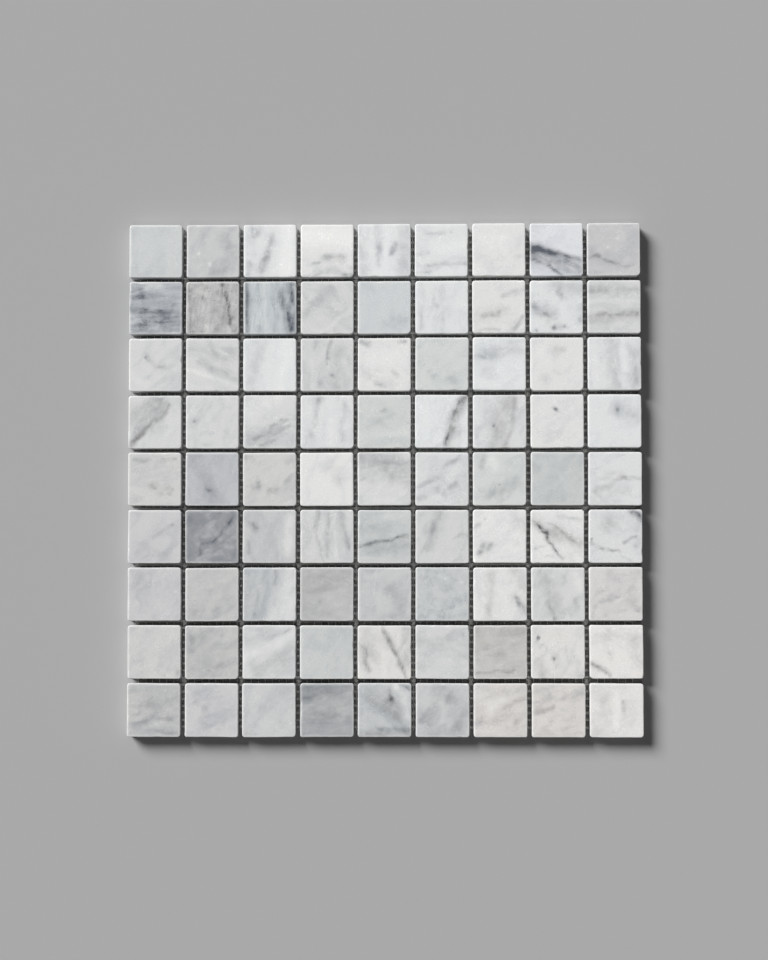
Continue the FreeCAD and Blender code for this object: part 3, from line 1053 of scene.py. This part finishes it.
def honed_marble(settings):
    """Marble ground flat and left unpolished: a silky face with no clear reflection, only a soft sheen."""
    material, add = new_material("honed_marble")
    colour, mottle, crystals = stone_nodes(add, settings)
    polish = add("MapRange", {"Value": mottle, "To Min": 0.36, "To Max": 0.5})
    relief = add("Bump", {"Height": crystals, "Strength": 0.12, "Distance": 0.03 * MM})
    sockets = {"Base Color": colour, "Roughness": polish, "IOR": 1.5, "Normal": relief}
    add("OutputMaterial", {"Surface": add("BsdfPrincipled", sockets)})
    return material


def sawn_marble(settings):
    """The same marble as the diamond blade left it: matt, scored, and a shade duller with slurry."""
    material, add = new_material("sawn_marble")
    colour, _, _ = stone_nodes(add, settings)
    place = add("Attribute", attribute_name="stone_place").outputs["Vector"]
    # The blade's scores are 0.4 mm apart and run on for 4 mm
    score_place = add("VectorMath", {0: place, 1: (0.25, 2.4, 2.4)}, operation="MULTIPLY")
    scores = add("TexNoise", {"Vector": score_place, "Scale": 1.0, "Detail": 3.0, "Roughness": 0.6})
    limits = {"From Min": 0.3, "From Max": 0.7, "To Min": 0.1, "To Max": 0.35}
    dust = add("MapRange", {"Value": scores, **limits})
    colour = add("Mix", {SHARE: dust, FIRST: colour, SECOND: (*settings.slurry, 1)}, data_type="RGBA")
    relief = add("Bump", {"Height": scores, "Strength": 0.5, "Distance": 0.08 * MM})
    sockets = {"Base Color": colour, "Roughness": 0.72, "IOR": 1.5, "Normal": relief}
    add("OutputMaterial", {"Surface": add("BsdfPrincipled", sockets)})
    return material


def glass_fibre(settings, name, along):
    """Glass yarn dipped in clear binder: off-white, with fine filaments along the yarn and a low gloss."""
    material, add = new_material(name)
    place = add("TexCoord").outputs["Object"]
    # Filaments are about 0.01 mm across and are drawn 0.15 mm across, as fine as a close view can show
    across, lengthwise = 1 / (0.15 * MM), 1 / (6.0 * MM)
    stretch = (lengthwise, across, across) if along == "X" else (across, lengthwise, across)
    filament_place = add("VectorMath", {0: place, 1: stretch}, operation="MULTIPLY")
    filaments = add("TexNoise", {"Vector": filament_place, "Scale": 1.0, "Detail": 2.0, "Roughness": 0.6})
    shade = add("MapRange", {"Value": filaments, "From Min": 0.3, "From Max": 0.7})
    ends = {FIRST: (*settings.yarn_shadow, 1), SECOND: (*settings.yarn, 1)}
    colour = add("Mix", {SHARE: shade, **ends}, data_type="RGBA")
    # The binder is thicker and glossier in some places than in others, about a centimetre apart
    binder = add("TexNoise", {"Vector": place, "Scale": 1 / (9 * MM), "Detail": 3.0})
    limits = {"From Min": 0.35, "From Max": 0.65, "To Min": 0.4, "To Max": 0.62}
    polish = add("MapRange", {"Value": binder, **limits})
    relief = add("Bump", {"Height": filaments, "Strength": 0.5, "Distance": 0.04 * MM})
    sockets = {"Base Color": colour, "Roughness": polish, "IOR": 1.52, "Normal": relief}
    add("OutputMaterial", {"Surface": add("BsdfPrincipled", sockets)})
    return material


def set_glue(settings):
    """White wood-type glue dried in thick blobs: milky, nearly neutral in colour, smooth and half glossy."""
    material, add = new_material("dried_glue")
    place = add("TexCoord").outputs["Object"]
    milk = add("TexNoise", {"Vector": place, "Scale": 1 / (1.6 * MM), "Detail": 3.0})
    shade = add("MapRange", {"Value": milk, "From Min": 0.3, "From Max": 0.7})
    ends = {FIRST: (*settings.thin_glue, 1), SECOND: (*settings.thick_glue, 1)}
    colour = add("Mix", {SHARE: shade, **ends}, data_type="RGBA")
    relief = add("Bump", {"Height": milk, "Strength": 0.3, "Distance": 0.1 * MM})
    sockets = {"Base Color": colour, "Roughness": 0.3, "IOR": 1.47, "Normal": relief}
    add("OutputMaterial", {"Surface": add("BsdfPrincipled", sockets)})
    return material


def matt_surface(name, colour):
    """Matt paint or paper in one plain colour, for the studio only."""
    material, add = new_material(name)
    sockets = {"Base Color": (*colour, 1), "Roughness": 0.9, "Specular IOR Level": 0.2}
    add("OutputMaterial", {"Surface": add("BsdfPrincipled", sockets)})
    return material


def length_setting(name, description, millimetres):
    """A setting that is a length, which is written here in millimetres."""
    return FloatProperty(name=name, description=description, default=millimetres * MM, unit="LENGTH")


def angle_setting(name, description, degrees):
    """A setting that is an angle, which is written here in degrees."""
    return FloatProperty(name=name, description=description, default=math.radians(degrees), subtype="ANGLE")


def colour_setting(name, description, code):
    """A setting that is a colour, which is written here as an sRGB hex code."""
    return FloatVectorProperty(name=name, description=description, default=linear(code), subtype="COLOR")


class TileSettings(bpy.types.PropertyGroup):
    arris_width: length_setting("Arris width", "How far the eased edge reaches in over the face", 0.55)
    arris_drop: length_setting("Arris drop", "How far the eased edge reaches down the side", 0.42)
    corner_radius: length_setting("Corner radius", "Radius of an upright corner that was not knocked", 1.4)
    edge_wander: length_setting("Edge wander", "How far a hand-fed cut strays inward", 0.16)
    saw_wave: length_setting("Saw wave", "Depth of the blade's waves in the sides", 0.04)
    chips: FloatProperty(name="Chips", description="Chips in one arris, on average", default=1.6, min=0)
    laying_seed: IntProperty(name="Seed", description="Which random edges and grain they get", default=21)
    fold_seed: IntProperty(name="Fold seed", description="Which way the bed was folded", default=7, min=1)
    slate_vein: colour_setting("Slate vein", "Colour of a blue-grey vein", "#474D58")
    brown_vein: colour_setting("Brown vein", "Colour of a rusty vein", "#665C50")
    clear_calcite: colour_setting("Clear calcite", "Colour of the cleanest stone", "#F2F2F0")
    slurry: colour_setting("Slurry", "Colour of dried saw dust on the sides", "#B4B4B2")


class NetSettings(bpy.types.PropertyGroup):
    pitch: length_setting("Pitch", "From one yarn to the next", 4.2)
    weft_width: length_setting("Weft width", "Width of a flat weft yarn", 1.7)
    warp_strand: length_setting("Warp strand", "Width of one of the two strands of a warp yarn", 0.42)
    net_seed: IntProperty(name="Seed", description="Which random drift the yarns get", default=5)
    yarn: colour_setting("Yarn", "Colour of the glass yarn", "#F4F4F0")
    yarn_shadow: colour_setting("Yarn shadow", "Colour between the filaments", "#DCDCD8")


class GlueSettings(bpy.types.PropertyGroup):
    blobs: IntProperty(name="Blobs", description="Blobs along one side of a tile's back", default=4, min=1)
    width: length_setting("Width", "Width of a blob on average", 4.6)
    dome: length_setting("Dome", "Width of a dome of glue where joints cross", 3.0)
    glue_seed: IntProperty(name="Seed", description="Which random places and shapes it gets", default=12)
    thin_glue: colour_setting("Thin glue", "Colour where the glue is thin", "#CCCBC8")
    thick_glue: colour_setting("Thick glue", "Colour where the glue is thick", "#E2E1DE")


class StudioSettings(bpy.types.PropertyGroup):
    floor: colour_setting("Floor", "Colour of the floor", "#ABABAB")
    # A mid-grey patch under the net: painted shade for the floor seen down the joints
    painted_joint_shade: colour_setting("Backing", "Colour of the paper that the sheet lies on", "#9C9C9C")
    lamp_strength: FloatProperty(name="Lamp", description="Strength of the lamp", default=4.34)
    lamp_softness: angle_setting("Softness", "How wide the lamp looks from the sheet", 28)
    lamp_height: angle_setting("Lamp height", "How high the lamp stands above the floor", 38)
    lamp_side: angle_setting("Lamp side", "How far the lamp stands to the left of +Y", 47)
    fill_strength: FloatProperty(name="Fill", description="Strength of the lamp beyond row 9", default=0.28)
    room_strength: FloatProperty(name="Room", description="Strength of the light all round", default=0.028)


class MOSAIC_OT_tiles(bpy.types.Operator):
    """Model the nine rows of honed marble tiles"""

    bl_idname = "mosaic.tiles"
    bl_label = "Honed tiles"

    def execute(self, context):
        settings = context.scene.mosaic_tiles
        materials = [honed_marble(settings), sawn_marble(settings)]
        _, rim, grid_faces = face_grid()
        one_tile = tile_faces(rim, grid_faces)
        honed_count = len(grid_faces) + len(rim) * len(ARRIS_RINGS)
        hand = np.random.default_rng(settings.laying_seed)
        noise.seed_set(settings.fold_seed)
        for row in range(1, ROWS + 1):
            parts = []
            layers = {name: [] for name in STONE_LAYERS}
            for column, (middle, turn) in enumerate(cad_tiles(row), start=1):
                stone, lean, marks = SHEET[(row - 1) * COLUMNS + column - 1]
                worn = WORN_CORNERS.get((row, column), {})
                places, read = dressed_tile(hand, settings, STONES[stone], lean, marks, worn)
                flat = turned(places[:, :2], turn) + middle
                parts.append((np.column_stack((flat, places[:, 2] + SHEET_TOP)), one_tile))
                for name, values in read.items():
                    layers[name].append(values)

            places, faces = joined(parts)
            piece = new_piece(f"honed_tiles_row_{row}", places, faces, materials)
            for name, values in layers.items():
                set_layer(piece.data, name, np.vstack(values))
            # The face and its arris are honed. The sides and the back keep the blade's finish.
            sawn = np.arange(len(faces)) % len(one_tile) >= honed_count
            piece.data.polygons.foreach_set("material_index", sawn.astype(np.int32))
            piece.data.shade_smooth()
            piece.data.set_sharp_from_angle(angle=math.radians(38))
            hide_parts(f"tile_row_{row}")
        return {"FINISHED"}


# The net in section. All of it lies between the floor and the backs of the tiles.
WEFT_HEIGHT = 0.25  # of the middle of a flat weft yarn
WEFT_HALF_THICKNESS = 0.085
STRAND_HALF_THICKNESS = 0.1
STRAND_SPREAD = 1.2  # how much wider the four-cornered strand is drawn, to look as wide as a round one
STRAND_SWING = 0.24  # how far each strand of a warp pair swings aside at a weft
# Heights of the two strands of a warp pair, at a weft and midway to the next
UPPER_STRAND = (0.42, 0.16)
LOWER_STRAND = (0.08, 0.33)
# How a yarn drifts sideways: by how much from one place to the next, and how far at most
WEFT_DRIFT = (0.03, 0.3)
WARP_DRIFT = (0.02, 0.25)


def strand(path, section):
    """A closed strand: the section's places (across, up) carried along a path of (run, across, up).

    Gives places as (run, across, up), and faces."""
    sides = len(section)
    places = np.repeat(path, sides, axis=0)
    places[:, 1:] += np.tile(section, (len(path), 1))
    ring = np.arange(sides)
    faces = []
    for step in range(len(path) - 1):
        first = step * sides + ring
        second = first + sides
        faces += np.column_stack((first, np.roll(first, -1), np.roll(second, -1), second)).tolist()
    faces.append(ring[::-1].tolist())
    faces.append((ring + (len(path) - 1) * sides).tolist())
    return places, faces


def net_ends(node, axis):
    """The two cut ends of the net along an axis, in mm, as the frame holds them."""
    low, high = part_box(node)
    return low[axis] / MM, high[axis] / MM


def yarn_lines(ends, pitch):
    """Where the middles of the yarns lie between two ends of the net, with one on the sheet's middle."""
    low, high = ends
    return np.arange(math.ceil(low / pitch), math.floor(high / pitch) + 1) * pitch


def yarn_run(ends, grips, pitch):
    """The places along a yarn: its ends, where it grips each yarn that it crosses, and midway between."""
    return np.sort(np.concatenate((ends, grips, grips[:-1] + pitch / 2)))


def drifting(hand, count, step, most):
    """How far a yarn has drifted sideways at each of its places."""
    drift = np.cumsum(hand.normal(0, step, count))
    return np.clip(drift - drift.mean(), -most, most)


class MOSAIC_OT_net(bpy.types.Operator):
    """Model the leno-woven net: flat weft yarns held between twisted pairs of warp strands"""

    bl_idname = "mosaic.net"
    bl_label = "Glass-fibre net"

    def execute(self, context):
        settings = context.scene.mosaic_net
        pitch = settings.pitch / MM
        hand = np.random.default_rng(settings.net_seed)
        weft_ends = net_ends("net_weft_threads", 0)
        warp_ends = net_ends("net_warp_threads", 1)
        weft_lines = yarn_lines(warp_ends, pitch)
        warp_lines = yarn_lines(weft_ends, pitch)

        # Weft: flat yarns, six-sided in section
        half = settings.weft_width / MM / 2
        angles = np.radians(np.arange(0, 360, 60))
        section = np.column_stack((half * np.cos(angles), WEFT_HALF_THICKNESS * np.sin(angles)))
        run = yarn_run(weft_ends, warp_lines, pitch)
        wefts = []
        for line in weft_lines:
            middle = line + drifting(hand, len(run), *WEFT_DRIFT)
            wefts.append(strand(np.column_stack((run, middle, np.full(len(run), WEFT_HEIGHT))), section))
        places, faces = joined(wefts)
        weft = new_piece("net_weft_yarns", places, faces, [glass_fibre(settings, "glass_fibre_weft", "X")])
        weft.data.shade_smooth()
        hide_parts("net_weft_threads")

        # Warp: two strands that swap sides between wefts, one over the wefts and one under them
        half = settings.warp_strand / MM / 2 * STRAND_SPREAD
        angles = np.radians((45, 135, 225, 315))
        section = np.column_stack((half * np.cos(angles), STRAND_HALF_THICKNESS * np.sin(angles)))
        run = yarn_run(warp_ends, weft_lines, pitch)
        steps = np.arange(len(run))
        at_grip = steps % 2 == 1
        swing = np.where(at_grip, np.where(steps % 4 == 1, 1, -1), 0) * STRAND_SWING
        warps = []
        for line in warp_lines:
            middle = line + drifting(hand, len(run), *WARP_DRIFT)
            for across, heights in ((middle + swing, UPPER_STRAND), (middle - swing, LOWER_STRAND)):
                warps.append(strand(np.column_stack((run, across, np.where(at_grip, *heights))), section))
        places, faces = joined(warps)
        # The warp runs along Y: its places swap run and across, which turns the faces inside out
        faces = [face[::-1] for face in faces]
        fibre = glass_fibre(settings, "glass_fibre_warp", "Y")
        warp = new_piece("net_warp_strands", places[:, (1, 0, 2)], faces, [fibre])
        warp.data.shade_smooth()
        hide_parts("net_warp_threads")
        return {"FINISHED"}


BLOB_SIDES = 16
BLOB_STRAY = 1.3  # how far a blob is squeezed out of its row
DOME_STRAY = 0.15
# Rings of glue from the top down, each as a share of the radius and a height
BLOB_RINGS = ((1.0, TILE_BACK), (0.93, 0.36), (0.72, 0.2), (0.4, 0.12))
DOME_RINGS = ((0.3, 0.85), (0.62, 0.76), (0.88, 0.58), (1.0, 0.36), (1.0, 0.12))


def lump(hand, centre, radius, rings):
    """A lobed lump of glue as places and faces, from its rings."""
    angles = np.linspace(0, 2 * np.pi, BLOB_SIDES, endpoint=False)
    lobes = 1 + sum(
        depth * np.sin(count * angles + hand.uniform(0, 6.28)) for count, depth in ((2, 0.16), (3, 0.09))
    )
    circle = np.column_stack((np.cos(angles), np.sin(angles)))
    places = []
    for share, height in rings:
        ring = centre + circle * (radius * lobes * share)[:, None]
        places.append(np.column_stack((ring, np.full(BLOB_SIDES, height))))
    loops = np.arange(BLOB_SIDES * len(rings)).reshape(len(rings), BLOB_SIDES)
    faces = [loops[0].tolist()]
    for upper, lower in zip(loops, loops[1:]):
        faces += band(upper, lower)
    faces.append(loops[-1][::-1].tolist())
    return np.vstack(places), faces


class MOSAIC_OT_glue(bpy.types.Operator):
    """Model the glue: blobs that hold the net to the tile backs, and domes where joints cross"""

    bl_idname = "mosaic.glue"
    bl_label = "Glue"

    def execute(self, context):
        settings = context.scene.mosaic_glue
        hand = np.random.default_rng(settings.glue_seed)
        lumps = []

        # A blob under a tile is flat on the tile's back and swells round the yarns below it
        spacing = TILE_SIDE / (settings.blobs + 0.6)
        for row in range(1, ROWS + 1):
            for middle, _ in cad_tiles(row):
                for number in range(settings.blobs**2):
                    step = np.array(divmod(number, settings.blobs)) - (settings.blobs - 1) / 2
                    centre = middle + step * spacing + hand.uniform(-BLOB_STRAY, BLOB_STRAY, 2)
                    radius = settings.width / MM / 2 * hand.uniform(0.6, 1.25)
                    lumps.append(lump(hand, centre, radius, BLOB_RINGS))

        # Where two joints cross, the glue of four tiles is squeezed up into a low dome
        for row in range(1, ROWS):
            above, below = cad_tiles(row), cad_tiles(row + 1)
            for column in range(COLUMNS - 1):
                corners = [line[side][0] for line in (above, below) for side in (column, column + 1)]
                centre = np.mean(corners, axis=0) + hand.uniform(-DOME_STRAY, DOME_STRAY, 2)
                radius = settings.dome / MM / 2 * hand.uniform(0.75, 1.1)
                lumps.append(lump(hand, centre, radius, DOME_RINGS))
        glue = new_piece("tile_back_glue", *joined(lumps), [set_glue(settings)])
        glue.data.shade_smooth()
        glue.data.set_sharp_from_angle(angle=math.radians(50))
        return {"FINISHED"}


FLOOR_HALF = 4000.0
# Half the width of the mid-grey patch of painted shade under the net
SHADE_PATCH_HALF = 147.0
# The fill is small and high, and shines down the joints that run along Y from beyond row 9
FILL_SOFTNESS = math.radians(3)
FILL_HEIGHT = math.radians(66)
CAMERA_LENS = 79.28
CAMERA_PLACE = (28.16, -65.9, 1262.2)
CAMERA_TURN = (2.984, 1.303, -0.043)  # degrees about X, Y and Z


class MOSAIC_OT_studio(bpy.types.Operator):
    """Lay the floor and set the lights and the camera"""

    bl_idname = "mosaic.studio"
    bl_label = "Studio"

    def execute(self, context):
        settings = context.scene.mosaic_studio
        scene = context.scene

        # The floor, with a patch of mid-grey let into it under the net as painted shade: it darkens the floor
        # seen down the joints, so that the pale yarns stand out there. The tiles hide all of the patch but
        # what shows down the joints.
        corners = ((-1, -1), (1, -1), (1, 1), (-1, 1))
        places = [(x * half * MM, y * half * MM, 0) for half in (FLOOR_HALF, SHADE_PATCH_HALF) for x, y in corners]
        faces = [(side, (side + 1) % 4, (side + 1) % 4 + 4, side + 4) for side in range(4)]
        mesh = bpy.data.meshes.new("studio_floor")
        mesh.from_pydata(places, [], [*faces, (4, 5, 6, 7)])
        mesh.materials.append(matt_surface("studio_floor", settings.floor))
        # The second slot is the patch of painted shade under the net
        mesh.materials.append(matt_surface("painted_shade_patch", settings.painted_joint_shade))
        mesh.polygons[-1].material_index = 1
        floor = bpy.data.objects.new("studio_floor", mesh)
        scene.collection.objects.link(floor)

        towards_lamp = (settings.lamp_height, settings.lamp_side)
        towards_fill = (FILL_HEIGHT, math.pi)
        for name, strength, softness, (height, side) in (
            ("studio_lamp", settings.lamp_strength, settings.lamp_softness, towards_lamp),
            ("studio_fill", settings.fill_strength, FILL_SOFTNESS, towards_fill),
        ):
            lamp = bpy.data.lights.new(name, "SUN")
            lamp.energy = strength
            lamp.angle = softness
            holder = bpy.data.objects.new(name, lamp)
            holder.rotation_euler = (-(math.pi / 2 - height), 0, side)
            scene.collection.objects.link(holder)

        # Past the floor, the camera, gloss and glass see the floor's colour. All else is lit by the room.
        world = bpy.data.worlds.new("studio_room")
        world.use_nodes = True
        world.node_tree.nodes.clear()
        add = partial(add_node, world.node_tree)
        room = add("Background", {"Color": (1, 1, 1, 1), "Strength": settings.room_strength})
        backdrop = add("Background", {"Color": (*settings.floor, 1), "Strength": 1.0})
        rays = add("LightPath").outputs
        seen = rays["Is Camera Ray"]
        for kind in ("Is Glossy Ray", "Is Transmission Ray"):
            seen = add("Math", {0: seen, 1: rays[kind]}, operation="MAXIMUM")
        either = add("MixShader", {0: seen, 1: room, 2: backdrop})
        add("OutputWorld", {"Surface": either}).is_active_output = True
        scene.world = world

        camera_data = bpy.data.cameras.new("camera")
        camera_data.sensor_width = 36
        camera_data.lens = CAMERA_LENS
        camera = bpy.data.objects.new("camera", camera_data)
        camera.location = Vector(CAMERA_PLACE) * MM
        camera.rotation_euler = Euler(np.radians(CAMERA_TURN).tolist())
        scene.collection.objects.link(camera)
        scene.camera = camera

        scene.view_settings.view_transform = "Standard"
        return {"FINISHED"}


STEPS = (
    (MOSAIC_OT_tiles, "mosaic_tiles", TileSettings),
    (MOSAIC_OT_net, "mosaic_net", NetSettings),
    (MOSAIC_OT_glue, "mosaic_glue", GlueSettings),
    (MOSAIC_OT_studio, "mosaic_studio", StudioSettings),
)


class MOSAIC_PT_sheet(bpy.types.Panel):
    bl_idname = "MOSAIC_PT_sheet"
    bl_label = "Mosaic tile sheet"
    bl_space_type = "VIEW_3D"
    bl_region_type = "UI"
    bl_category = "Mosaic"

    def draw(self, context):
        for operator, property_name, group in STEPS:
            box = self.layout.box()
            settings = getattr(context.scene, property_name)
            for name in group.__annotations__:
                box.prop(settings, name)
            box.operator(operator.bl_idname)


def register():
    for operator, property_name, group in STEPS:
        bpy.utils.register_class(group)
        bpy.utils.register_class(operator)
        setattr(bpy.types.Scene, property_name, PointerProperty(type=group))
    bpy.utils.register_class(MOSAIC_PT_sheet)


def unregister():
    bpy.utils.unregister_class(MOSAIC_PT_sheet)
    for operator, property_name, group in reversed(STEPS):
        delattr(bpy.types.Scene, property_name)
        bpy.utils.unregister_class(operator)
        bpy.utils.unregister_class(group)


def main():
    register()
    bpy.ops.mosaic.tiles()
    bpy.ops.mosaic.net()
    bpy.ops.mosaic.glue()
    bpy.ops.mosaic.studio()


if __name__ == "__main__":
    main()
